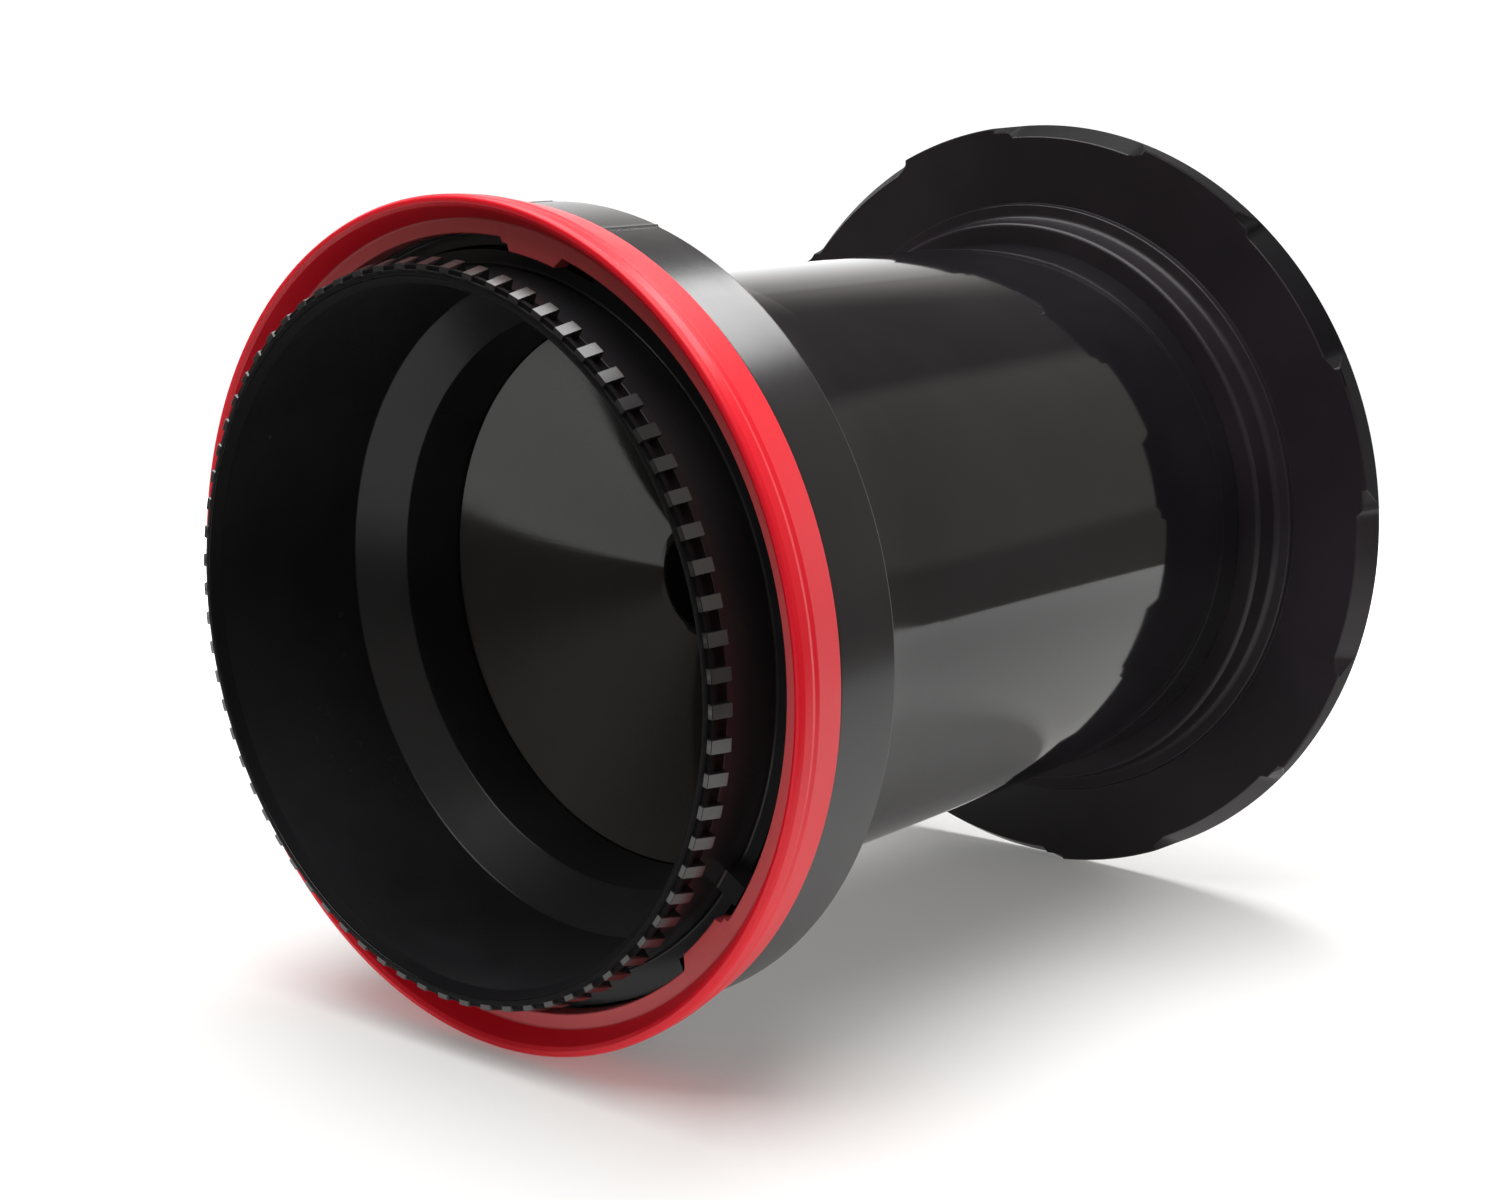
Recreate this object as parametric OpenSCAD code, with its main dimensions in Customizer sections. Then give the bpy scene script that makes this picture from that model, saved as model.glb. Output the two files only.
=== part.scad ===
// Film developing tank for rotary processing, lying on its side.
// The tank's axis runs along Y at the height of the base disc's radius, with the mouth facing -Y.
// Every profile is drawn as [radius, depth], and depth counts back from the mouth's front plane.

/* [Tank] */
// Length from the mouth's front plane to the back of the base disc
tank_len = 176; // [170:1:190]
// Outer radius of the tube
tube_r = 56; // [54.5:0.1:56.4]
// Wall thickness of the tube
tube_wall = 2.2; // [1.6:0.1:2.6]
// Outer radius of the bell-shaped head behind the ring
head_r = 70.2; // [70:0.1:71]
// Outer radius of the base disc
disc_r = 80.2; // [80:0.1:84]
// Number of finger bevels round the base disc
finger_bevels = 8; // [4:1:10]

/* [Locking ring] */
// Largest outer radius of the ring, at its front lip
ring_r = 72.6; // [72.4:0.1:74]
// Depth of the ring's recessed flange
ring_flange_s = 12; // [11.8:0.1:12.4]
// Inner radius of the ring's flange
ring_bore_r = 66.1; // [66:0.1:66.6]
// Inner radius of the three bayonet tabs
tab_r = 64; // [63.9:0.1:64.6]
// Width of a bayonet tab, in degrees
tab_deg = 12.4; // [8:0.1:14]

/* [Lid] */
// Inner radius of the lid's cup at the mouth
mouth_r = 58.8; // [58:0.1:59.2]
// Wall thickness of the lid's cup
cup_wall = 2.1; // [1.8:0.1:2.2]
// Number of cog teeth round the mouth
teeth = 72; // [48:1:80]
// Radius over the tips of the cog teeth
cog_tip_r = 63; // [62.4:0.1:63.4]
// Width of a cog tooth
tooth_w = 2.1; // [1.4:0.1:2.6]
// Inner radius of the funnel's spout
spout_r = 10; // [8:0.1:10.2]
// Depth of the funnel's spout hole
spout_s = 66; // [62:0.5:67]

/* [Column and reels] */
// Outer radius of the centre column
column_r = 14; // [14:0.1:14.2]
// Width between the film grooves of a reel
film_w = 35.2; // [35:0.1:35.6]
// Outer radius of a reel
reel_r = 50; // [48:0.1:50]
// Distance between two turns of the film groove
groove_pitch = 3.2; // [2.8:0.1:3.6]
// Turns of the film groove
groove_turns = 8; // [6:1:8]

/* [Hidden] */
$fn = 96;

gap = 0.3;                                 // clearance between pieces that move past each other
tube_in_r = tube_r - tube_wall;
floor_s = tank_len - 5;                    // front face of the base disc's plate
plate_t = 2.4;                             // thickness of that plate
cup_out_r = mouth_r + cup_wall;
ring_flange_t = 3.6;                       // thickness of the ring's flange and tabs
ring_back_s = 19.1;                        // depth of the ring's rear edge
ring_skirt_r = 69.1;                       // inner radius of the ring's skirt
neck_r = ring_skirt_r - gap;               // the head's neck, which the ring turns on
lid_seat_s = 18.2;                         // ledge that the lid's flange sits on
lid_flange_s = ring_flange_s + ring_flange_t + 0.4;
tab_angle = 76.6;                          // centre of the first bayonet tab
lug_deg = 27;                              // width of a lid lug, in degrees
lug_angle = 53.5;                          // centre of the first lid lug
column_front_s = 74;
column_in_r = column_r - 2;
foot_s = floor_s - 6.4;                    // front face of the column's foot
key_w = 3;                                 // width of the column's two keys
key_h = 1.1;                               // height of the keys above the column
reel_plate_t = 2;
rib_h = 2.4;                               // height of the film groove's wall
rib_t = 1;                                 // thickness of the film groove's wall
reel_len = film_w + 2 * reel_plate_t;
reel_gap = 0.6;                            // space between two reels, and behind the rear one
reel_2_s = foot_s - reel_gap - reel_len;   // front face of the rear reel
reel_1_s = reel_2_s - reel_gap - reel_len; // front face of the front reel
clip_t = 3;
socket_r = 22.2;                           // inner radius of the base's coupling socket
socket_s = floor_s - 2.2;                  // depth of the socket's end wall

// Puts a shape drawn about Z, with its depth up Z, onto the tank's axis.
// An angle given to spin() counts anticlockwise from the right, seen from the mouth.
module on_axis() translate([0, -tank_len / 2, disc_r]) rotate([-90, 0, 0]) children();
module spin(angle) rotate([0, 0, -angle]) children();

// A body of revolution from [radius, depth] points
module turned(points) rotate_extrude() polygon(points);

// A plain ring from depth s0 to depth s1
module ring(r_in, r_out, s0, s1)
    rotate_extrude() translate([r_in, s0]) square([r_out - r_in, s1 - s0]);

// A sector of a ring, centred on an angle
module ring_sector(r_in, r_out, s0, s1, angle, width)
    spin(angle) rotate([0, 0, -width / 2]) rotate_extrude(angle = width)
        translate([r_in, s0]) square([r_out - r_in, s1 - s0]);

// A rubber ring of round section
module o_ring(r, s, thickness)
    rotate_extrude() translate([r, s]) circle(d = thickness, $fn = 32);

// ---- tank ----

module tank_body() color("#1c1b1e") on_axis() {
    bead = 0.7;
    difference() {
        union() {
            turned([[66.2, lid_flange_s], [neck_r - 0.4, lid_flange_s], [neck_r, lid_flange_s + 0.4],
                    [neck_r, 17.2], [neck_r + bead, 17.5], [neck_r + bead, 18.1], [neck_r, 18.4],
                    [neck_r, 19.4], [head_r - 0.7, 19.4], [head_r, 20], [head_r, 33.2],
                    [head_r - 0.7, 34], [67.9, 34], [67.9, 22.5], [66, 22.5], [66, 34.5],
                    [tube_r + 1.6, 43], [tube_r + 1.6, 54.2], [tube_r + 1, 55], [tube_r + 1, 62.8],
                    [tube_r, 64], [tube_r, floor_s], [tube_in_r, floor_s], [tube_in_r, 41.8],
                    [63.7, 33.2], [63.7, lid_seat_s], [66.2, lid_seat_s]]);
            // stiffening ribs in the hollow behind the head's skirt
            for (i = [0:15]) spin(i * 22.5 + 11) translate([65.6, -0.7, 22]) cube([2.6, 1.4, 11]);
            // thumb pads on the head, above and below
            for (a = [78, 258]) ring_sector(69.4, head_r + 0.6, 20.4, 33.4, a, 26);
        }
    }
}

// Disc with a collar round the tube's end and finger bevels spaced round its front edge
module base_disc() color("#221e24") on_axis() {
    bevel_angle = -9;                      // centre of the first bevel
    bevel_deg = 24.6;
    bevel_w = 2.6;
    bevel_depth = 4.2;
    bevel_slope = bevel_w / bevel_depth;
    difference() {
        union() {
            // plate, collar round the tube's end and outer rim
            turned([[socket_r, floor_s], [tube_r, floor_s], [tube_r, floor_s - 7.6],
                    [58.4, floor_s - 7.4], [60, floor_s - 6.8], [60.2, floor_s - 6.2],
                    [59.6, floor_s - 5.6], [60.6, floor_s - 2.2], [62.2, floor_s - 1.5],
                    [62.8, floor_s - 1], [62.9, floor_s - 0.4], [64.4, floor_s],
                    [disc_r - 0.4, floor_s], [disc_r, floor_s + 0.4], [disc_r, tank_len - 0.5],
                    [disc_r - 0.5, tank_len], [disc_r - 2.4, tank_len],
                    [disc_r - 2.4, floor_s + plate_t], [socket_r, floor_s + plate_t]]);
            // spigot inside the tube, grooved for its seal
            turned([[tube_in_r - 2.4, floor_s], [tube_in_r - 2.4, floor_s - 5.6],
                    [tube_in_r - 0.6, floor_s - 5.6], [tube_in_r - 0.1, floor_s - 5],
                    [tube_in_r - 0.1, floor_s - 3.9], [tube_in_r - 1.1, floor_s - 3.9],
                    [tube_in_r - 1.1, floor_s - 2.1], [tube_in_r - 0.1, floor_s - 2.1],
                    [tube_in_r - 0.1, floor_s]]);
            // socket for the drive magnet
            turned([[0, socket_s - 1.8], [socket_r + 1.8, socket_s - 1.8], [socket_r + 1.8, floor_s + 1],
                    [socket_r, floor_s + 1], [socket_r, socket_s], [0, socket_s]]);
            // ribs behind the plate
            ring(48, 49.6, floor_s + plate_t, tank_len - 1);
            for (i = [0:15]) spin(i * 22.5) translate([socket_r + 1, -0.8, floor_s + plate_t])
                cube([disc_r - socket_r - 3, 1.6, 1.6]);
            ring(socket_r, socket_r + 1.8, floor_s + plate_t, tank_len - 0.6);
        }
        for (i = [0:finger_bevels - 1])
            spin(bevel_angle + i * 360 / finger_bevels - bevel_deg / 2) mirror([0, 1, 0])
                rotate_extrude(angle = bevel_deg)
                    polygon([[disc_r - bevel_w - bevel_slope, floor_s - 1],
                             [disc_r + bevel_slope, floor_s + bevel_depth + 1],
                             [disc_r + 3, floor_s + bevel_depth + 1], [disc_r + 3, floor_s - 1]]);
    }
}

module base_seal() color("#101012") on_axis() o_ring(tube_in_r - 0.7, floor_s - 3, 1.4);

// ---- locking ring ----

module locking_ring() color("#e5262c") on_axis() {
    back_s = ring_flange_s + ring_flange_t;
    difference() {
        union() {
            rotate_extrude() {
                polygon([[ring_bore_r, ring_flange_s], [68.8, ring_flange_s], [ring_r - 1.5, 8.4],
                         [ring_r - 1.2, 8.1], [ring_r - 0.8, 8], [ring_r - 0.4, 8.1],
                         [ring_r - 0.1, 8.4], [ring_r, 8.8], [ring_r, 10.9], [ring_r - 0.4, 11.1],
                         [ring_r - 0.4, 11.6], [ring_r - 0.1, 11.8], [ring_r - 1.2, ring_back_s - 0.4],
                         [ring_r - 1.6, ring_back_s], [ring_skirt_r + 0.3, ring_back_s],
                         [ring_skirt_r, ring_back_s - 0.3], [ring_skirt_r, 18.7],
                         [ring_skirt_r + 0.8, 18.4], [ring_skirt_r + 0.8, 17.1],
                         [ring_skirt_r, 16.8], [ring_skirt_r, back_s], [ring_bore_r, back_s]]);
            }
            for (i = [0:2]) spin(tab_angle + i * 120) bayonet_tab(back_s);
        }
    }
}

// One inward tab: a sector with a lower shoulder at its leading end
module bayonet_tab(back_s) {
    shoulder = 1.4;
    ring_sector(tab_r, ring_bore_r + 0.6, ring_flange_s + 0.2, back_s - 0.2,
                -shoulder / 2, tab_deg - shoulder);
    ring_sector(tab_r + 1.2, ring_bore_r + 0.8, ring_flange_s + 0.3, back_s - 0.3,
                tab_deg / 2 - shoulder, 2 * shoulder);
}

// ---- lid ----

module lid_cup() color("#17171a") on_axis() {
    step_r = cup_out_r - 0.7;              // seat of the cog ring
    turned([[step_r, 0.2], [step_r, 4.6], [cup_out_r, 4.6], [cup_out_r, lid_flange_s],
            [tab_r - 0.6, lid_flange_s], [tab_r - 0.6, lid_flange_s + 2], [cup_out_r, lid_flange_s + 2],
            [cup_out_r, 22.8], [cup_out_r + 1.5, 23.2], [cup_out_r + 1.5, 24], [cup_out_r, 24.6],
            [cup_out_r, 33.4], [53.2, 40.8], [52.4, 56], [50.6, 56], [50.6, 50.8], [50.2, 50.4],
            [51.6, 39], [mouth_r, 32.4], [mouth_r, 1.4], [step_r - 0.5, 0.2]]);
    // lugs that the ring's tabs turn over, and a stop at the released end
    for (i = [0:2])
        ring_sector(tab_r - 1.2, ring_bore_r - 0.4, lid_flange_s + 0.1, lid_flange_s + 1.9,
                    lug_angle + i * 120, lug_deg);
    ring_sector(tab_r - 1.4, ring_bore_r - 0.3, ring_flange_s + 0.6, lid_flange_s + 1.5, -33.4, 5);
}

module cog_ring() color("#26262a") on_axis() {
    seat_r = cup_out_r - 0.7;
    tooth_front_s = 0.1;
    union() {
        ring(seat_r, seat_r + 0.9, 0, 4.5);
        ring(seat_r + 0.4, cog_tip_r - 1.1, 0.5, 1.5);
        for (i = [0:teeth - 1]) spin(2.6 + i * 360 / teeth)
            translate([seat_r + 0.3, 0, tooth_front_s]) linear_extrude(3.7)
                polygon([[0, -tooth_w / 2 + 0.25], [cog_tip_r - seat_r - 0.3, -tooth_w / 2],
                         [cog_tip_r - seat_r - 0.3, tooth_w / 2], [0, tooth_w / 2 - 0.25]]);
    }
}

module funnel() color("#1e1e22") on_axis() {
    wall = 1.8;
    rim_r = 50.5;
    turned([[rim_r, 51], [rim_r, 52.6], [rim_r - 1, 52.6], [rim_r - 1, 54.6], [rim_r, 54.6], [rim_r, 56],
            [rim_r - wall, 56], [rim_r - wall, 53.6], [spout_r + 1.2, spout_s + 2.2],
            [spout_r + 1.2, 78.9], [spout_r + 0.8, 78.9], [spout_r + 0.8, 80.5], [spout_r + 1.2, 80.5],
            [spout_r + 1.2, 83.6], [spout_r + 0.8, 84], [spout_r, 84], [spout_r, spout_s + 0.6],
            [spout_r + 0.6, spout_s]]);
}

module funnel_seal() color("#101012") on_axis() o_ring(50, 53.6, 1.2);

// Slotted cone below the funnel, which folds the light path round the column
module light_trap() color("#151518") on_axis() difference() {
    turned([[52.3, 56], [52.3, 57.8], [16.8, 71.2], [16.8, 76], [15.4, 76], [15.4, 69.8],
            [48.4, 57.4], [48.4, 56]]);
    for (i = [0:5]) spin(i * 60) translate([34, -5, 50]) cube([9, 10, 20]);
}

module lid_gasket() color("#0e0e10") on_axis() {
    turned([[cup_out_r, 18.9], [62.6, 18.9], [63.6, 19.6], [63.6, 20.4], [62.8, 21.2], [63.5, 22.2],
            [62.6, 22.7], [cup_out_r, 22.7]]);
}

module spout_seal() color("#101012") on_axis() o_ring(spout_r + 1.35, 79.7, 1.1);

// ---- column, clip and reels ----

module centre_column() color("#222226") on_axis() difference() {
    union() {
        turned([[column_in_r, column_front_s], [column_r - 0.6, column_front_s],
                [column_r, column_front_s + 1.2], [column_r, foot_s], [27, foot_s], [27, floor_s - 0.4],
                [24.8, floor_s - 0.4], [24.8, foot_s + 1.9], [column_in_r, foot_s + 1.9]]);
        for (a = [90, 270]) spin(a)
            translate([column_in_r + 0.6, -key_w / 2, reel_1_s]) cube([column_r + key_h - column_in_r - 0.6,
                                                                      key_w, foot_s - reel_1_s + 1]);
    }
    // slots in the foot that let the chemistry out
    for (i = [0:5]) spin(i * 60) translate([column_r + 2, -3, foot_s - 1]) cube([16, 6, 8]);
}

module reel_clip() color("#d8262b") on_axis() difference() {
    s = reel_1_s - reel_gap - clip_t;
    union() {
        ring(column_r + 0.05, column_r + 3.6, s, s + clip_t);
        for (a = [-90 - 27, -90 + 27]) spin(a) translate([column_r + 1, -1.8, s]) cube([9, 3.6, clip_t]);
    }
    spin(-90) translate([0, -5.2, s - 1]) cube([40, 10.4, clip_t + 2]);
    spin(90) translate([column_r - 3, -0.8, s - 1]) cube([4.6, 1.6, clip_t + 2]);
}

// The wall of the film groove: half rings on two centres make a smooth spiral
module groove_wall(s, height) {
    start_r = 20.4;
    for (i = [0:2 * groove_turns - 1])
        translate([i % 2 == 0 ? 0 : groove_pitch / 2, 0, 0])
            rotate([0, 0, i % 2 == 0 ? 0 : 180]) rotate_extrude(angle = 180)
                translate([start_r + i * groove_pitch / 2, s]) square([rib_t, height]);
}

// One flange of a reel: hub, spokes, rings and the film groove's wall
module reel_flange(hub_r, plate_s, wall_s) {
    ring(hub_r, 21.4, plate_s, plate_s + reel_plate_t);
    ring(34, 36, plate_s, plate_s + reel_plate_t);
    ring(reel_r - 3.4, reel_r, plate_s, plate_s + reel_plate_t);
    for (i = [0:7]) spin(i * 45 + 22.5) translate([20.6, -3, plate_s]) cube([reel_r - 22, 6, reel_plate_t]);
    groove_wall(wall_s, rib_h);
}

// Film entry notch and, on the turning half, the guide that the film stop slides in
module entry_notch(s, width) translate([reel_r - 7.4, -width / 2, s - 1]) cube([12, width, reel_plate_t + rib_h + 2]);

// The half that is keyed to the column; its sleeve is the inner core
module reel_fixed_half(s) color("#dedbd2") on_axis() difference() {
    back_s = s + reel_len;
    union() {
        reel_flange(column_r + 1.6, back_s - reel_plate_t, back_s - reel_plate_t - rib_h);
        ring(column_r + gap, column_r + 2.2, s + 0.4, back_s);
    }
    for (a = [90, 270]) spin(a) translate([column_r - 1, -key_w / 2 - gap, s - 1])
        cube([key_h + 1.35, key_w + 2 * gap, reel_len + 2]);
    spin(0) entry_notch(back_s - reel_plate_t - rib_h, 14);
}

// The half that rocks against the fixed one to wind the film in
module reel_turning_half(s) color("#dedbd2") on_axis() difference() {
    union() {
        reel_flange(column_r + 2.6, s, s + reel_plate_t);
        ring(column_r + 2.5, column_r + 4.2, s, s + reel_len - reel_plate_t - rib_h - 0.4);
    }
    spin(0) entry_notch(s, 6.6);
}

// Slider that stops a first film so that a second can follow it
module film_stop(s) color("#d8262b") on_axis() {
    translate([reel_r - 3.4, -3, s + 0.2]) cube([4, 6, reel_plate_t + rib_h - 0.6]);
    translate([reel_r + 0.2, -4.4, s + 0.2]) cube([1, 8.8, reel_plate_t + rib_h - 0.6]);
}

module reel_1_fixed_half() reel_fixed_half(reel_1_s);
module reel_1_turning_half() reel_turning_half(reel_1_s);
module reel_1_film_stop() film_stop(reel_1_s);
module reel_2_fixed_half() reel_fixed_half(reel_2_s);
module reel_2_turning_half() reel_turning_half(reel_2_s);
module reel_2_film_stop() film_stop(reel_2_s);

// ---- drive coupling in the base ----

housing_r = socket_r - 0.2;
housing_s = socket_s;
magnet_t = 3.6;

module magnet_housing() color("#2a2a2e") on_axis() {
    back_s = tank_len - 0.8;
    turned([[0, housing_s], [housing_r, housing_s], [housing_r, back_s], [housing_r - 1.6, back_s],
            [housing_r - 1.6, housing_s + 1.4], [0, housing_s + 1.4]]);
}

module drive_magnet() color("#4a4a4e") on_axis()
    ring(6, housing_r - 1.8, housing_s + 1.4, housing_s + 1.4 + magnet_t);

module magnet_cover() color("#2a2a2e") on_axis() {
    s = housing_s + 1.4 + magnet_t;
    difference() {
        ring(0, housing_r - 1.65, s, tank_len - 0.8);
        for (i = [0:2]) spin(90 + i * 120) translate([12, 0, tank_len - 1.8]) cylinder(r = 2, h = 3);
    }
}

tank_body();
base_disc();
base_seal();
locking_ring();
lid_cup();
cog_ring();
funnel();
funnel_seal();
light_trap();
lid_gasket();
spout_seal();
centre_column();
reel_clip();
reel_1_fixed_half();
reel_1_turning_half();
reel_1_film_stop();
reel_2_fixed_half();
reel_2_turning_half();
reel_2_film_stop();
magnet_housing();
drive_magnet();
magnet_cover();
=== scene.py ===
"""Looks of the film developing tank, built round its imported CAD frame.

The tank lies along Y with its mouth facing -Y. Profiles are lists of (radius, depth) in
millimetres, where depth counts back from the mouth's front plane, and a third number on a point is
the radius of its corner. Angles are in degrees, anticlockwise seen from the mouth.
"""

import math
from collections import namedtuple

import bmesh
import bpy
from mathutils import Matrix, Vector


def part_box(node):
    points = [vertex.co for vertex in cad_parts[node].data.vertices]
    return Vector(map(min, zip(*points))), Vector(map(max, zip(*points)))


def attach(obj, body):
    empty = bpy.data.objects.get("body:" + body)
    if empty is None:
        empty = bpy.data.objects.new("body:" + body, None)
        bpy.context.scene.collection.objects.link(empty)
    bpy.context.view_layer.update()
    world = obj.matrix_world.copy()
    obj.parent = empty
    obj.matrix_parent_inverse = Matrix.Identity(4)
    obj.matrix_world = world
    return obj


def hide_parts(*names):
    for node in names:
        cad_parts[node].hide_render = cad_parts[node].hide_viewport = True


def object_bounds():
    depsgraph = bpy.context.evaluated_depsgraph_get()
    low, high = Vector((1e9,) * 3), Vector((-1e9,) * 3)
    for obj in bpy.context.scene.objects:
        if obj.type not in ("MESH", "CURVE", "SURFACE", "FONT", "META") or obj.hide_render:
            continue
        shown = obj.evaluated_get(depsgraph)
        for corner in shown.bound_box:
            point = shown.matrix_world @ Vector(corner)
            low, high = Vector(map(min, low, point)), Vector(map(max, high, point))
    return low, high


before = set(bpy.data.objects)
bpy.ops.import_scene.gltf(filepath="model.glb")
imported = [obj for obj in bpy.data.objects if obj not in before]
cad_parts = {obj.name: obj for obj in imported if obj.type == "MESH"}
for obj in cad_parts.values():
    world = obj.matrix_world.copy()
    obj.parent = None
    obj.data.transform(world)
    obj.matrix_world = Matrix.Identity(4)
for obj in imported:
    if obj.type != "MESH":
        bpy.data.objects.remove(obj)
cad_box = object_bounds()

MM = 0.001
MOUTH_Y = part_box("cog_ring")[0][1]
AXIS_Z = (cad_box[0][2] + cad_box[1][2]) / 2

# sizes that two pieces share
TUBE = 56.0                         # the tube's outer radius
BORE = 53.8                         # the tube's inner radius
PLATE_S = 171.0                     # depth of the front face of the base disc's plate
LENGTH = 176.0                      # depth of the base disc's back

# the bayonet, at rest
TAB_AT = 76.6                       # middle of the ring's first tab
LUG_AT = 53.5                       # middle of the lid's first lug
STOP_AT = -33.4                     # middle of the lid's stop
THIRD = 120                         # the tabs and the lugs come in threes

SEGMENTS = 240                      # steps round a turned piece
SHARP = math.radians(35)            # an edge that bends more than this is shaded sharp
SAME = 2e-7                         # points nearer than this, in metres, are merged


# ---- mesh building ----

def add_object(name, data):
    """A new object in the scene for a mesh, a light or a camera."""
    obj = bpy.data.objects.new(name, data)
    bpy.context.scene.collection.objects.link(obj)
    return obj


def place(radius, depth, angle):
    """A point of the tank from its radius and depth in mm and its angle in radians."""
    return Vector((radius * MM * math.cos(angle), MOUTH_Y + depth * MM,
                   AXIS_Z + radius * MM * math.sin(angle)))


def rounded(points, steps=4):
    """A closed profile with its corners rounded, each in the given number of steps."""
    out = []
    n = len(points)
    for i, point in enumerate(points):
        p = Vector(point[:2])
        r = point[2] if len(point) > 2 else 0.0
        a = Vector(points[i - 1][:2]) - p
        b = Vector(points[(i + 1) % n][:2]) - p
        if r <= 0 or a.length < 1e-6 or b.length < 1e-6:
            out.append(p)
            continue
        half = a.angle(b) / 2
        reach = r / max(math.tan(half), 1e-3)
        limit = 0.49 * min(a.length, b.length)
        a.normalize()
        b.normalize()
        if math.pi / 2 - half < 0.01:       # nearly straight: only keep the count of points
            span = min(limit, r)
            out += [p + a * span * (1 - 2 * k / steps) if 2 * k <= steps
                    else p + b * span * (2 * k / steps - 1) for k in range(steps + 1)]
            continue
        if reach > limit:
            r, reach = r * limit / reach, limit
        centre = p + (a + b).normalized() * (r / math.sin(half))
        start, end = p + a * reach - centre, p + b * reach - centre
        turn = start.angle_signed(end)
        for k in range(steps + 1):
            t = -turn * k / steps
            out.append(centre + Vector((start.x * math.cos(t) - start.y * math.sin(t),
                                        start.x * math.sin(t) + start.y * math.cos(t))))
    return [(q.x, q.y) for q in out]


def finish_mesh(bm, name):
    """Turns a bmesh into an object with outward normals and smooth shading between sharp edges."""
    bmesh.ops.remove_doubles(bm, verts=bm.verts, dist=SAME)
    bmesh.ops.delete(bm, geom=[e for e in bm.edges if not e.link_faces], context="EDGES")
    bmesh.ops.recalc_face_normals(bm, faces=bm.faces)
    mesh = bpy.data.meshes.new(name)
    bm.to_mesh(mesh)
    bm.free()
    mesh.shade_smooth()
    mesh.set_sharp_from_angle(angle=SHARP)
    obj = add_object(name, mesh)
    weighted = obj.modifiers.new("weighted_normals", "WEIGHTED_NORMAL")
    weighted.keep_sharp = True
    weighted.weight = 80
    return obj


def block(bm, r_in, r_out, front, back, angle, width):
    """A radial rib: a box of a width in mm between two radii and two depths, at an angle."""
    corners = []
    for r in (r_in, r_out):
        for s in (front, back):
            for side in (-width / 2, width / 2):
                swing = math.radians(angle) + math.atan2(side, r)
                corners.append(bm.verts.new(place(math.hypot(r, side), s, swing)))
    for quad in ((0, 1, 3, 2), (4, 6, 7, 5), (0, 4, 5, 1), (2, 3, 7, 6), (0, 2, 6, 4), (1, 5, 7, 3)):
        bm.faces.new([corners[k] for k in quad])


def sweep(name, stations, ribs=()):
    """A closed ring through profiles at rising angles, with ribs: stations are (angle, profile)."""
    bm = bmesh.new()
    for rib in ribs:
        block(bm, *rib)
    loops = [[bm.verts.new(place(r, s, math.radians(angle))) for r, s in profile]
             for angle, profile in stations]
    for i, loop in enumerate(loops):
        nxt = loops[(i + 1) % len(loops)]
        for k in range(len(loop)):
            j = (k + 1) % len(loop)
            bm.faces.new((loop[k], loop[j], nxt[j], nxt[k]))
    return finish_mesh(bm, name)


def angles_with(marks, apart=0.02):
    """Even steps round the circle and the angles in marks, sorted, and kept some degrees apart."""
    out = []
    for a in sorted([360 * i / SEGMENTS for i in range(SEGMENTS)] + [m % 360 for m in marks]):
        if not out or a - out[-1] > apart:
            out.append(a)
    return out


def from_middle(angle, middle, pitch=360):
    """The signed angle from the nearest middle, where middles repeat every pitch degrees."""
    return (angle - middle + pitch / 2) % pitch - pitch / 2


def inside(angle, middle, width, pitch=360):
    """How deep an angle lies inside a sector: positive inside, counted from the nearer end."""
    return width / 2 - abs(from_middle(angle, middle, pitch))


def ramp(x, width):
    """Rises from 0 to 1 while x goes from 0 to width."""
    return min(max(x / width, 0.0), 1.0)


# ---- materials ----

def feed(tree, socket, value):
    """Links an output into a socket, or sets the socket to a number, a vector or a colour."""
    if isinstance(value, bpy.types.NodeSocket):
        tree.links.new(value, socket)
    else:
        socket.default_value = value


def math_node(tree, operation, *values):
    node = tree.nodes.new("ShaderNodeMath")
    node.operation = operation
    for socket, value in zip(node.inputs, values):
        feed(tree, socket, value)
    return node.outputs["Value"]


def mix_node(tree, data_type, factor, a, b):
    node = tree.nodes.new("ShaderNodeMix")
    node.data_type = data_type
    for name, value in (("Factor", factor), ("A", a), ("B", b)):
        feed(tree, node.inputs[name], value)
    return node.outputs["Result"]


def map_range(tree, value, lo, hi, out_lo=0.0, out_hi=1.0, smooth=False):
    node = tree.nodes.new("ShaderNodeMapRange")
    if smooth:
        node.interpolation_type = "SMOOTHSTEP"
    for name, number in (("From Min", lo), ("From Max", hi), ("To Min", out_lo), ("To Max", out_hi),
                         ("Value", value)):
        feed(tree, node.inputs[name], number)
    return node.outputs["Result"]


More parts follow.
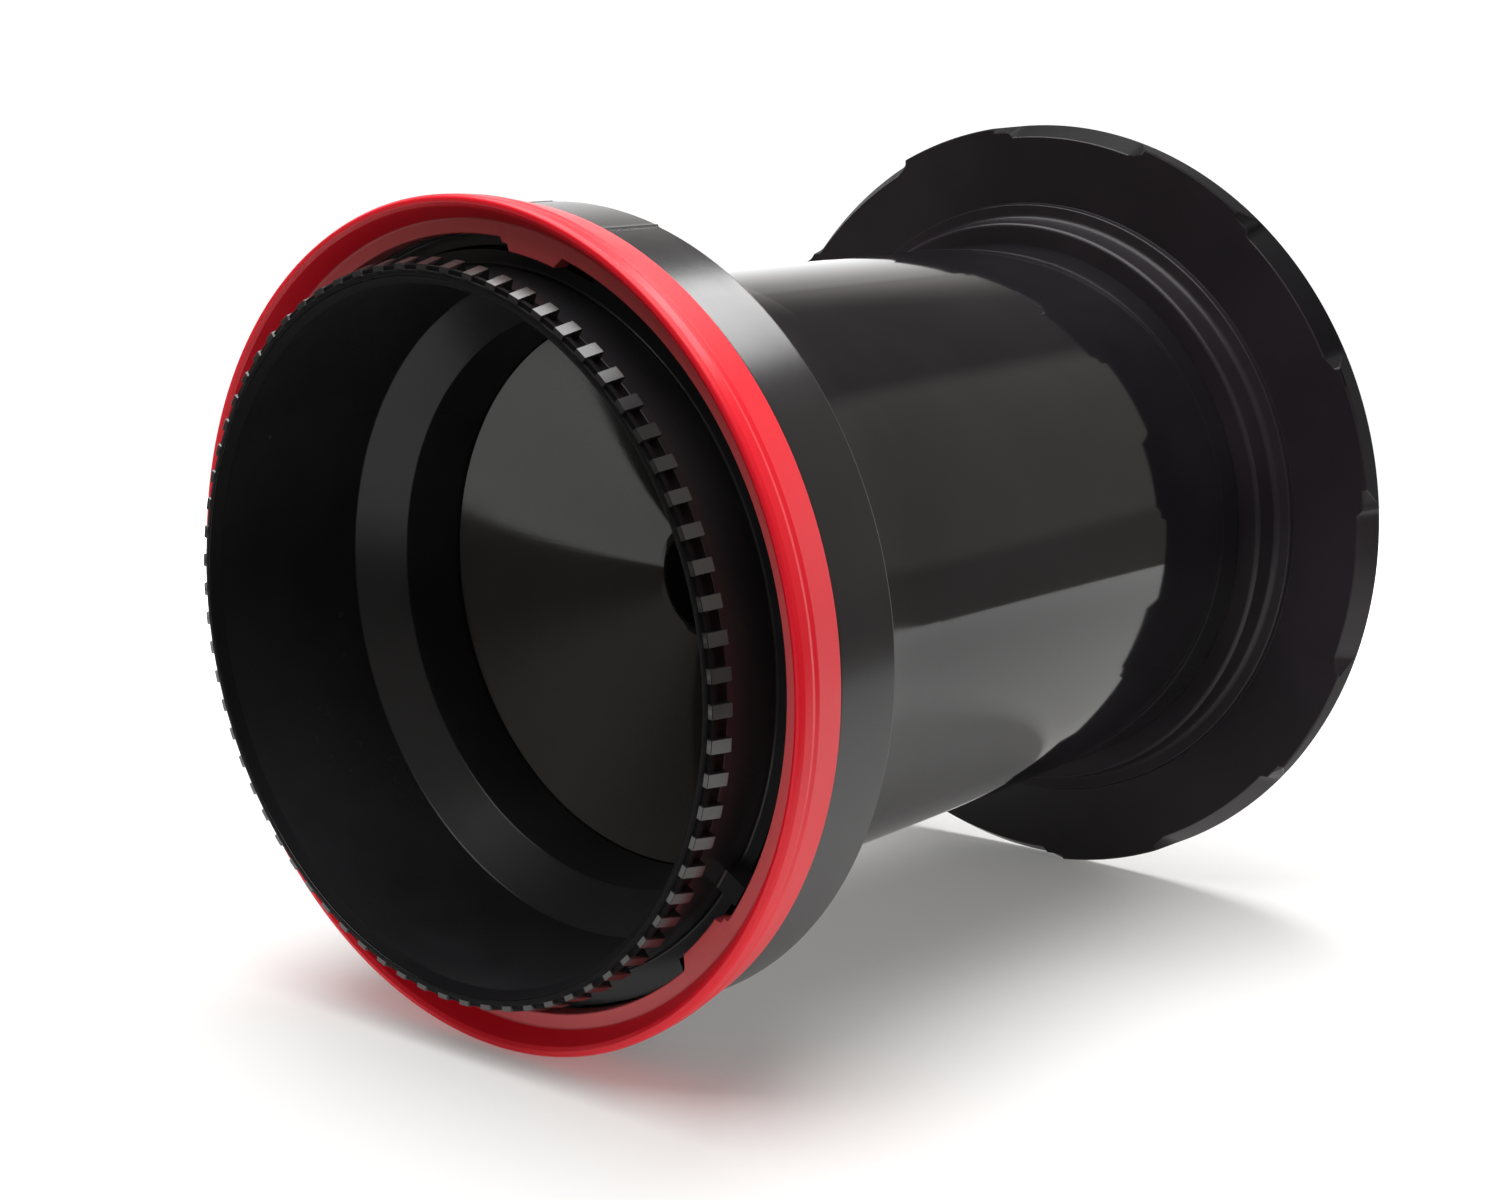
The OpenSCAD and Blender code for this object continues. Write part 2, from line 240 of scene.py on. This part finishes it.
def plastic(name, colour, roughness, spread=0.05, scale=900, bump=0.03, mottle=0.25,
            dust=0.0, subsurface=0.0, specular=0.5, satin=None):
    """Moulded plastic: cloudy tone and roughness, faint smears, fine orange peel and settled dust.
    spread is how far the roughness varies, and scale and bump are the orange peel's. satin is
    (depth, depth, extra roughness): the extra is whole up to the first depth, gone by the second."""
    mat = bpy.data.materials.new(name)
    mat.use_nodes = True
    tree = mat.node_tree
    shader = tree.nodes["Principled BSDF"]
    shader.inputs["Specular IOR Level"].default_value = specular
    if subsurface:
        shader.inputs["Subsurface Weight"].default_value = subsurface
        shader.inputs["Subsurface Radius"].default_value = (0.004, 0.001, 0.001)
        shader.inputs["Subsurface Scale"].default_value = 1.0
    coords = tree.nodes.new("ShaderNodeTexCoord").outputs["Object"]

    def noise(freq, detail, rough=0.5):
        node = tree.nodes.new("ShaderNodeTexNoise")
        node.inputs["Scale"].default_value = freq
        node.inputs["Detail"].default_value = detail
        node.inputs["Roughness"].default_value = rough
        tree.links.new(coords, node.inputs["Vector"])
        return node.outputs["Fac"]

    clouds = noise(28, 4)
    darker, lighter = ((*[min(c * share, 1) for c in colour], 1)
                       for share in (1 - mottle, 1 + mottle))
    tone = mix_node(tree, "RGBA", map_range(tree, clouds, 0.35, 0.65), darker, lighter)
    if dust:
        specks = map_range(tree, noise(1500, 3, 0.7), 0.66, 0.74, 0, dust)
        tone = mix_node(tree, "RGBA", specks, tone, (0.35, 0.34, 0.33, 1))
    tree.links.new(tone, shader.inputs["Base Color"])

    cloudy = map_range(tree, clouds, 0.3, 0.7, roughness - spread, roughness + spread)
    smears = map_range(tree, noise(160, 2), 0.55, 0.8, 0, spread)
    total = math_node(tree, "ADD", cloudy, smears)
    if satin:
        near, far, extra = satin
        axes = tree.nodes.new("ShaderNodeSeparateXYZ")
        tree.links.new(coords, axes.inputs["Vector"])
        fade = map_range(tree, axes.outputs["Y"], MOUTH_Y + near * MM, MOUTH_Y + far * MM, extra, 0.0)
        total = math_node(tree, "ADD", total, fade)
    tree.links.new(total, shader.inputs["Roughness"])

    peel = tree.nodes.new("ShaderNodeBump")
    peel.inputs["Strength"].default_value = bump
    peel.inputs["Distance"].default_value = 0.0002
    tree.links.new(noise(scale, 2), peel.inputs["Height"])
    tree.links.new(peel.outputs["Normal"], shader.inputs["Normal"])
    return mat


TANK = plastic("black_tank_plastic", (0.0098, 0.0090, 0.0106), 0.06, spread=0.012, bump=0.003,
               dust=0.01, satin=(30, 60, 0.20))
BASE = plastic("black_base_plastic", (0.0140, 0.0105, 0.0138), 0.34, dust=0.02, specular=0.3)
LID = plastic("black_lid_plastic", (0.0155, 0.0155, 0.0170), 0.24, bump=0.002, spread=0.025,
              specular=0.3)
FUNNEL = plastic("black_funnel_plastic", (0.019, 0.0185, 0.018), 0.08, spread=0.02, bump=0.01,
                 dust=0.01)
COG = plastic("black_cog_plastic", (0.012, 0.012, 0.0125), 0.22, dust=0.02, specular=0.8)
RED = plastic("red_ring_plastic", (0.86, 0.010, 0.026), 0.34, mottle=0.03, bump=0.005,
              specular=0.28)
# a paler, whiter red for the ring's inner flange and tabs: painted reflection and shade, with a
# slightly rougher finish
RED_PAINTED_SHEEN = plastic("red_ring_inside_painted_sheen", (0.70, 0.10, 0.11), 0.4, mottle=0.03, bump=0.01,
                   specular=0.3)
# darker than the other blacks: painted shade on faces picked below; its low shine and higher
# roughness are a dull finish
MATT_PAINTED_SHADE = plastic("black_matt_edge_painted_shade", (0.005, 0.0045, 0.0055), 0.5, specular=0.06)
CLIP_RED = plastic("red_clip_plastic", (0.62, 0.02, 0.025), 0.3, mottle=0.06)
WHITE = plastic("white_reel_plastic", (0.74, 0.72, 0.66), 0.38, mottle=0.04, subsurface=0.1)
RUBBER = plastic("black_seal_rubber", (0.012, 0.012, 0.012), 0.6, bump=0.15)
INNER = plastic("black_column_plastic", (0.02, 0.02, 0.021), 0.35)
FERRITE = plastic("grey_ferrite", (0.07, 0.07, 0.075), 0.45, scale=2500, bump=0.3, mottle=0.35)


def dress(obj, body, material, node):
    """Gives a new piece its body and its material, and hides the CAD node it stands for."""
    obj.data.materials.append(material)
    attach(obj, body)
    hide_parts(node)
    return obj


# where a face is, in mm, and how much of its normal points out, to the mouth and up
Spot = namedtuple("Spot", "radius depth out forward up")


def second_look(obj, material, picks):
    """Gives another material to the faces at the spots that picks says yes to."""
    obj.data.materials.append(material)
    index = len(obj.data.materials) - 1
    for face in obj.data.polygons:
        x, z = face.center.x, face.center.z - AXIS_Z
        radius = math.hypot(x, z)
        out = (face.normal.x * x + face.normal.z * z) / radius if radius > 0 else 0.0
        depth = (face.center.y - MOUTH_Y) / MM
        if picks(Spot(radius / MM, depth, out, -face.normal.y, face.normal.z)):
            face.material_index = index


# ---- outer pieces ----

def tank_shell():
    """Tube and bell-shaped head: neck, bead, skirt with two thumb pads, ribs and step to the tube."""
    head = 70.2                                 # the skirt's outer radius
    pads, pad_width, pad_rise = (81, 261), 20, 0.15
    edge = 0.3                                  # half of a pad's sloping edge, in degrees
    crease_at, crease_width, crease_fade = 90, 130, 25
    ribs, first_rib = 16, 11

    def profile(pad, crease):
        """pad says how far a thumb pad stands out, and crease how far the line where the tube
        begins does, both as a share."""
        outer = head + pad_rise * pad
        return rounded([
            (66.2, 16.0, 0.2), (68.4, 16.0, 0.3), (68.8, 16.4, 0.3), (68.8, 17.2),
            (69.5, 17.5, 0.2), (69.5, 18.1, 0.2), (68.8, 18.4), (68.8, 19.4, 0.2),
            (head - 0.6, 19.4, 0.3), (outer, 20.2, 0.5), (outer, 33.4, 0.6), (head - 0.7, 34, 0.3),
            (67.9, 34, 0.4), (67.9, 22.5, 0.2), (66, 22.5, 0.2), (66, 34.5, 4),
            (TUBE + 0.9, 43.8, 9), (TUBE + 0.12, 55.0, 200), (TUBE + 0.04 * crease, 64.0),
            (TUBE, 64.2), (TUBE, PLATE_S), (BORE, PLATE_S), (BORE, 41.8, 3), (63.7, 33.2, 2),
            (63.7, 18.2, 0.3), (66.2, 18.2, 0.2)])

    marks = [pad + side * pad_width / 2 + e
             for pad in pads for side in (-1, 1) for e in (-edge, 0, edge)]
    stations = []
    for a in angles_with(marks):
        depth = max(inside(a, pad, pad_width) for pad in pads)
        ridge = max(0.0, 1.5 - abs(depth) / 0.2)        # along the pad's edge
        pad = ramp(depth + edge, 2 * edge) + ridge
        crease = ramp(inside(a, crease_at, crease_width), crease_fade)
        stations.append((a, profile(pad, crease)))
    return sweep("tube_and_head", stations,
                 [(65.7, 68.2, 22.2, 33, first_rib + 360 / ribs * i, 1.4) for i in range(ribs)])


def locking_ring():
    """Red ring: rolled front lip, groove, tapered band, recessed flange and three inward tabs."""
    lip = 72.6                                  # outer radius
    bore, tab = 66.1, 64.0                      # inner radius between the tabs and at them
    flange_s, back_s = 12.0, 15.6               # depths of the flange's faces
    tab_half, tab_start, tab_end = 6.2, 1.4, 0.5        # half its width, and its sloping ends
    low_from, low_by = 4.4, 0.57                # a tab's last stretch is lower by this share

    def profile(t):
        """t says how far a tab stands in, from 0 to 1."""
        inner = bore + (tab - bore) * t
        drop = 0.2 * ramp(t, 0.2)
        return rounded([
            (inner, flange_s + drop, 0.35), (68.6, flange_s, 0.5), (lip - 1.9, 8.5, 0.5),
            (lip - 1.2, 8.0, 0.5), (lip - 0.4, 8.0, 0.5), (lip, 8.8, 0.5), (lip, 10.6, 0.5),
            (lip - 0.22, 11.3, 0.6), (lip - 0.12, 12.2, 0.6), (lip - 1.3, 18.7, 0.3),
            (lip - 1.7, 19.1, 0.3), (69.4, 19.1, 0.2), (69.1, 18.8, 0.1), (69.1, 18.6),
            (69.9, 18.4), (69.9, 17.1), (69.1, 16.8), (69.1, back_s, 0.2),
            (inner, back_s - drop, 0.3)])

    marks = [TAB_AT + THIRD * i + d + e
             for i in range(3)
             for d in (-tab_half, -5.5, -4.8, 3.6, 4.2, 4.9, tab_half)
             for e in (-0.01, 0.25, 0.5)]
    stations = []
    for a in angles_with(marks):
        d = from_middle(a, TAB_AT, THIRD)
        t = min(ramp(d + tab_half, tab_start), ramp(tab_half - d, tab_end),
                1.0 - low_by * ramp(d - low_from, tab_end))
        stations.append((a, profile(t)))
    return sweep("locking_ring_moulding", stations)


def lid_cup():
    """The lid's cup: mouth, slanted ledge, deep wall, and a flange with three lugs and a stop."""
    mouth, outer, flange = 58.8, 60.9, 63.4     # radii
    lug_width, stop_width, end = 27, 4.4, 0.4   # end is the slope at a lug's or the stop's side

    def profile(lug, stop):
        """lug and stop say how far a lug and the stop stand out, from 0 to 1."""
        front = 16.0 - 3.0 * stop
        reach = flange + max(2.3 * lug, 2.0 * stop)
        return rounded([
            (60.2, 0.2, 0.15), (60.2, 4.6), (outer, 4.6, 0.2), (outer, front, 0.5),
            (reach, front), (reach, 18.0, 0.3), (outer, 18.0, 0.3), (outer, 22.8, 0.2),
            (62.4, 23.2, 0.3), (62.4, 24.0, 0.3), (outer, 24.6, 0.2), (outer, 33.4, 2),
            (53.2, 40.8, 2), (52.4, 56.0, 0.2), (50.6, 56.0, 0.2), (50.6, 50.8), (50.2, 50.4, 0.2),
            (51.6, 39.0, 0.7), (mouth, 32.4, 0.7), (mouth, 1.6, 0.4), (60.0, 0.2, 0.1)])

    sectors = [(LUG_AT + THIRD * i, lug_width / 2) for i in range(3)] + [(STOP_AT, stop_width / 2)]
    marks = [middle + side * d
             for middle, half in sectors for side in (-1, 1) for d in (half, half - end)]
    return sweep("lid_cup_moulding", [
        (a, profile(ramp(inside(a, LUG_AT, lug_width, THIRD), end),
                    ramp(inside(a, STOP_AT, stop_width), end))) for a in angles_with(marks)])


def cog_ring():
    """Square teeth round the mouth, joined by a thin web."""
    seat, tip, web = 60.2, 63.0, 61.9           # radii
    teeth, first, half, flank = 72, 2.6, 1.0, 0.12      # the tooth's angles, from its middle

    def profile(t):
        """t is 1 at a tooth and 0 at the web."""
        r = web + (tip - web) * t
        front, back = 0.5 - 0.4 * t, 1.5 + 2.3 * t
        return rounded([
            (seat, 0.0, 0.15), (seat + 0.9, 0.0, 0.25), (seat + 0.9, front, 0.1),
            (r - 0.95 * t, front, 0.1), (r, back, 0.2), (seat + 0.9, back, 0.1),
            (seat + 0.9, 4.5, 0.2), (seat, 4.5, 0.1)], steps=3)

    steps = ((-half - flank, 0), (-half, 1), (0, 1), (half, 1), (half + flank, 0),
             (1.8, 0), (2.5, 0), (3.2, 0))
    return sweep("cog_ring_moulding", [
        (first + 360 * i / teeth + d, profile(t)) for i in range(teeth) for d, t in steps])


def funnel():
    """Shallow glossy cone with its spout."""
    profile = rounded([
        (50.5, 51.0, 0.3), (50.5, 52.6, 0.1), (49.5, 52.6), (49.5, 54.6), (50.5, 54.6, 0.1),
        (50.5, 56.0, 0.2), (48.7, 56.0, 0.2), (48.7, 53.6, 0.5), (11.2, 68.2, 1), (11.2, 78.9, 0.1),
        (10.8, 78.9), (10.8, 80.5), (11.2, 80.5, 0.1), (11.2, 83.6, 0.2), (10.8, 84, 0.2),
        (10, 84, 0.2), (10, 66.5, 0.8), (10.9, 65.9, 0.5)])
    return sweep("funnel_moulding", [(a, profile) for a in angles_with(())])


def base_disc():
    """Base disc: stepped collar, spigot, socket, plate with finger bevels, and ribs behind it."""
    disc, socket = 80.2, 22.2                   # radii
    plate_back = PLATE_S + 2.4
    bevels, first, half = 8, -9, 12.3           # half is half a bevel's width in degrees
    pitch = 360 / bevels
    bevel_in, bevel_depth = 2.4, 4.4
    start, end = 2.5, 0.8                       # sloping ends of a bevel, in degrees
    trail, trail_end = 3.0, 2.4                 # how much longer its back edge runs, and its slope
    ribs = 16

    def profile(inner_cut, outer_cut):
        """The cuts say how far the finger bevel is in, from 0 to 1, at its front and at its back."""
        return rounded([
            (BORE - 2.4, PLATE_S), (BORE - 2.4, PLATE_S - 5.6, 0.3), (BORE - 0.6, PLATE_S - 5.6, 0.3),
            (BORE - 0.1, PLATE_S - 5, 0.2), (BORE - 0.1, PLATE_S - 3.9), (BORE - 1.1, PLATE_S - 3.9),
            (BORE - 1.1, PLATE_S - 2.1), (BORE - 0.1, PLATE_S - 2.1), (BORE - 0.1, PLATE_S),
            (TUBE - 0.05, PLATE_S), (TUBE - 0.05, PLATE_S - 7.4), (60.2, PLATE_S - 7.2, 1.0),
            (60.9, PLATE_S - 1.6, 1.4), (63.8, PLATE_S - 1.2, 0.4), (64.1, PLATE_S, 0.1),
            (disc - bevel_in + 1.2 * (1 - inner_cut), PLATE_S, 0.4),
            (disc - 0.3 * (1 - outer_cut), PLATE_S + (bevel_depth - 0.2) * outer_cut, 0.2),
            (disc, PLATE_S + 0.3 + (bevel_depth - 0.3) * outer_cut, 0.2),
            (disc, LENGTH - 0.4, 0.2), (disc - 0.4, LENGTH, 0.2), (disc - 2.4, LENGTH, 0.2),
            (disc - 2.4, plate_back, 0.3), (49.6, plate_back, 0.2), (49.6, LENGTH - 1, 0.2),
            (48, LENGTH - 1, 0.2), (48, plate_back, 0.2), (socket + 1.8, plate_back, 0.2),
            (socket + 1.8, LENGTH - 0.6, 0.3), (socket, LENGTH - 0.6, 0.2),
            (socket, PLATE_S - 2.2), (0, PLATE_S - 2.2), (0, PLATE_S - 4.0),
            (socket + 1.8, PLATE_S - 4.0, 0.4), (socket + 1.8, PLATE_S, 0.5)])

    marks = [first + pitch * i + d for i in range(bevels)
             for d in (-half, start - half, half - end, half, half + trail - trail_end,
                       half + trail)]
    stations = []
    for a in angles_with(marks):
        d = from_middle(a, first, pitch)
        cut = ramp(d + half, start)
        stations.append((a, profile(min(cut, ramp(half - d, end)),
                                    min(cut, ramp(half + trail - d, trail_end)))))
    return sweep("base_disc_moulding", stations,
                 [(socket + 1, disc - 2, plate_back - 0.3, LENGTH - 1.2, 360 / ribs * i, 1.6)
                  for i in range(ribs)])


dress(tank_shell(), "tank", TANK, "tank_body")
ring = dress(locking_ring(), "ring", RED, "locking_ring")
# painted reflection and shade: the inner flange and tabs get the paler red
second_look(ring, RED_PAINTED_SHEEN, lambda at: at.depth > 11.5 and at.radius < 68.7)
cup = dress(lid_cup(), "lid", LID, "lid_cup")
# painted shade, with a dull finish, on the mouth's front face and on the flange in the recess behind
# the ring
second_look(cup, MATT_PAINTED_SHADE, lambda at: at.depth < 2 and at.forward > 0.2
            or 12 < at.depth < 19 and at.radius > 62.8 and at.out > 0.3)
cog = dress(cog_ring(), "lid", COG, "cog_ring")
# painted shade, with a dull finish, on the front faces and on the web between the teeth
second_look(cog, MATT_PAINTED_SHADE, lambda at: at.forward > 0.5 and (at.radius < 61.2 or at.depth > 0.4)
            or at.out > 0.5 and at.radius < 62.1)
dress(funnel(), "lid", FUNNEL, "funnel")
disc = dress(base_disc(), "tank", BASE, "base_disc")
# painted shade, with a dull finish, on the disc rim's outer faces that face up or away from the mouth
second_look(disc, MATT_PAINTED_SHADE, lambda at: at.radius > 77.9 and at.out > 0.5
            and (at.up > 0.25 or at.forward < 0.2))

# ---- CAD nodes that stay, with better materials ----

CAD_LOOKS = {"base_seal": RUBBER, "funnel_seal": RUBBER, "lid_gasket": RUBBER, "spout_seal": RUBBER,
             "light_trap": LID, "centre_column": INNER, "reel_clip": CLIP_RED,
             "magnet_housing": INNER, "drive_magnet": FERRITE, "magnet_cover": INNER}
for reel in ("reel_1", "reel_2"):
    CAD_LOOKS.update({f"{reel}_fixed_half": WHITE, f"{reel}_turning_half": WHITE,
                      f"{reel}_film_stop": CLIP_RED})
for node, material in CAD_LOOKS.items():
    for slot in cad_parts[node].material_slots:
        slot.material = material


# ---- stage, light and camera ----

def floor():
    """A round pale table that touches the ring and the base disc, as the tank lies on them."""
    # in metres: the table's middle from the tank's, its radius, where the lip and the rim touch it
    # from the ring's front and the disc's back, and a hair's clearance
    table_at, table_r, lip_in, rim_in, clearance = (-0.22, 0.20), 0.5, 0.0025, 0.002, 0.0002
    rim_steps = 128
    ring_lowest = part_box("locking_ring")[0]
    disc_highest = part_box("base_disc")[1]
    front = Vector((0, ring_lowest[1] + lip_in, ring_lowest[2]))
    back = Vector((0, disc_highest[1] - rim_in, cad_box[0][2]))
    across = Vector((1, 0, 0))
    run = (back - front).normalized()
    centre = (front + back) / 2 - across.cross(run) * clearance
    bm = bmesh.new()
    rim = []
    for i in range(rim_steps):
        a = 2 * math.pi * i / rim_steps
        rim.append(bm.verts.new(centre + across * (table_at[0] + table_r * math.cos(a))
                                + run * (table_at[1] + table_r * math.sin(a))))
    bm.faces.new(rim)
    mesh = bpy.data.meshes.new("floor")
    bm.to_mesh(mesh)
    bm.free()

    mat = bpy.data.materials.new("pale_floor")
    mat.use_nodes = True
    tree = mat.node_tree
    shader = tree.nodes["Principled BSDF"]
    shader.inputs["Base Color"].default_value = (0.70, 0.70, 0.695, 1)
    shader.inputs["Roughness"].default_value = 0.8
    shader.inputs["Specular IOR Level"].default_value = 0.2
    shader.inputs["Emission Color"].default_value = (1, 1, 1, 1)
    # a glow keeps the shadows pale near the tank, and fades the table into the white beyond
    distance = tree.nodes.new("ShaderNodeVectorMath")
    distance.operation = "LENGTH"
    coords = tree.nodes.new("ShaderNodeTexCoord")
    tree.links.new(coords.outputs["Object"], distance.inputs[0])
    glow = map_range(tree, distance.outputs["Value"], 0.18, 0.5, 0.16, 0.9, smooth=True)
    tree.links.new(glow, shader.inputs["Emission Strength"])
    mesh.materials.append(mat)
    add_object("floor", mesh)


def softbox(name, place_at, aim, size, power):
    """A rectangular area light at a place in metres, aimed at another."""
    light = bpy.data.lights.new(name, "AREA")
    light.shape = "RECTANGLE"
    light.size, light.size_y = size
    light.energy = power
    obj = add_object(name, light)
    obj.location = place_at
    obj.rotation_euler = (Vector(aim) - Vector(place_at)).to_track_quat("-Z", "Y").to_euler()


def camera():
    """The camera stands where the photograph's perspective puts it, seen from the mouth's centre."""
    right = (0.7512, 0.6594, -0.0294)
    up = (-0.1095, 0.1685, 0.9796)
    back = (0.6509, -0.7326, 0.1988)
    at = (0.2877, MOUTH_Y - 0.2449, AXIS_Z + 0.0818)
    data = bpy.data.cameras.new("camera")
    data.sensor_width = 36.0
    data.lens = 56.04
    data.clip_start, data.clip_end = 0.01, 20
    obj = add_object("camera", data)
    obj.matrix_world = Matrix.Translation(at) @ Matrix((right, up, back)).transposed().to_4x4()
    bpy.context.scene.camera = obj


def studio():
    """Surroundings. The camera sees plain white behind the table. Reflections see a white sweep
    ahead of the camera, a dim wall to its right, a dim glow above and behind it, and a darker room
    elsewhere."""
    heading = (-0.664, 0.748, 0)                # the camera's, level
    rightward = (0.748, 0.664, 0)
    room, white = 0.13, 1.05                    # strengths: the darker room, and the plain white
    warm_tint, no_tint = (1.0, 0.93, 0.86, 1), (1, 1, 1, 1)     # the room is warm, the sweep isn't
    world = bpy.data.worlds.new("studio")
    world.use_nodes = True
    tree = world.node_tree
    coords = tree.nodes.new("ShaderNodeTexCoord").outputs["Generated"]

    def along(axis):
        node = tree.nodes.new("ShaderNodeVectorMath")
        node.operation = "DOT_PRODUCT"
        tree.links.new(coords, node.inputs[0])
        node.inputs[1].default_value = axis
        return node.outputs["Value"]

    def step(value, lo, hi, out_lo=0.0, out_hi=1.0):
        return map_range(tree, value, lo, hi, out_lo, out_hi, smooth=True)

    def times(a, b):
        return math_node(tree, "MULTIPLY", a, b)

    ahead, right, rise = along(heading), along(rightward), along((0, 0, 1))
    slope = math_node(tree, "DIVIDE", rise, math_node(tree, "MAXIMUM", ahead, 0.01))
    sweep_paper = times(step(slope, 0.15, 0.75, 1.0, 0.0), step(ahead, 0.36, 0.55))
    wall = times(step(right, 0.62, 0.70), step(rise, -0.03, 0.04, 0.4, 1.0))
    glow = times(step(ahead, -0.5, 0.0, 1.0, 0.0), step(rise, -0.1, 0.15))
    radiance = room
    for part, strength in ((sweep_paper, 1.5), (wall, 0.30), (glow, 0.22)):
        radiance = math_node(tree, "ADD", times(part, strength), radiance)

    seen = tree.nodes.new("ShaderNodeLightPath").outputs["Is Camera Ray"]
    background = tree.nodes["Background"]
    tree.links.new(mix_node(tree, "FLOAT", seen, radiance, white), background.inputs["Strength"])
    tint = mix_node(tree, "RGBA", math_node(tree, "MAXIMUM", sweep_paper, seen), warm_tint, no_tint)
    tree.links.new(tint, background.inputs["Color"])
    bpy.context.scene.world = world


floor()
softbox("key_overhead", (-0.07, -0.04, 1.0), (-0.02, 0.0, 0.05), (1.35, 0.9), 18.5)
softbox("head_glint", (0.045, 0.205, 0.385), (0.045, -0.06, 0.135), (0.17, 0.055), 0.33)
studio()
bpy.context.scene.view_settings.view_transform = "Standard"
camera()
